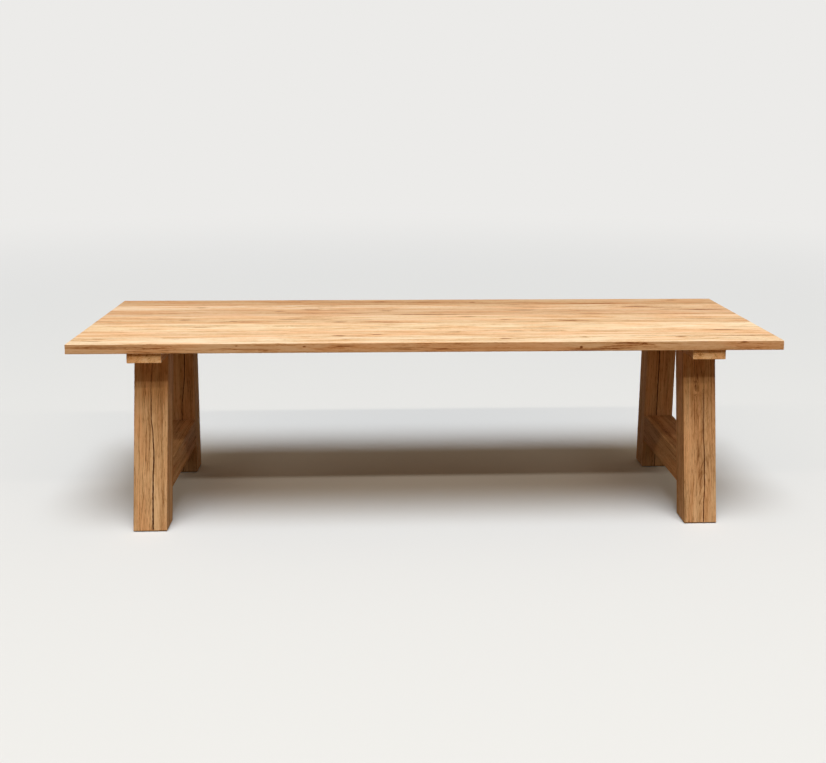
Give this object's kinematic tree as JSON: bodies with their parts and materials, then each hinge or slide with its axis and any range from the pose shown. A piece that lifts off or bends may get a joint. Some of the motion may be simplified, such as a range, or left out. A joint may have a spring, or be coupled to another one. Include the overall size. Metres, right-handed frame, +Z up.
{
  "type": "trestle dining table",
  "caption": "Long solid oak dining table: a thick glued board top on two trestles, each with splayed legs, a low rail and a flat cleat under the top.",
  "frame": {"origin": "on the floor under the middle of the top", "axes": "+X along the table to the right as seen from the front, +Y from the front edge to the back edge, +Z up"},
  "size_m": [2.8, 1, 0.77],
  "materials": {
    "oak_top": "sanded oak with a matt clear oil, boards of slightly different tone",
    "oak_leg": "sanded heart oak with drying checks, matt clear oil",
    "oak_rail": "sanded oak, matt clear oil",
    "tongue_ply": "raw plywood",
    "zinc_steel": "bright zinc plate",
    "felt": "pressed wool felt"
  },
  "bodies": {
    "root": {"top_board_1": "oak_top", "top_board_2": "oak_top", "top_board_3": "oak_top", "top_board_4": "oak_top", "top_board_5": "oak_top", "top_board_6": "oak_top", "top_board_7": "oak_top", "loose_tongues": "tongue_ply", "front_left_leg": "oak_leg", "back_left_leg": "oak_leg", "front_right_leg": "oak_leg", "back_right_leg": "oak_leg", "left_rail": "oak_rail", "right_rail": "oak_rail", "left_cleat": "oak_rail", "right_cleat": "oak_rail", "top_bolts": "zinc_steel", "bolt_washers": "zinc_steel", "threaded_inserts": "zinc_steel", "felt_pads": "felt"}
  },
  "joints": []
}
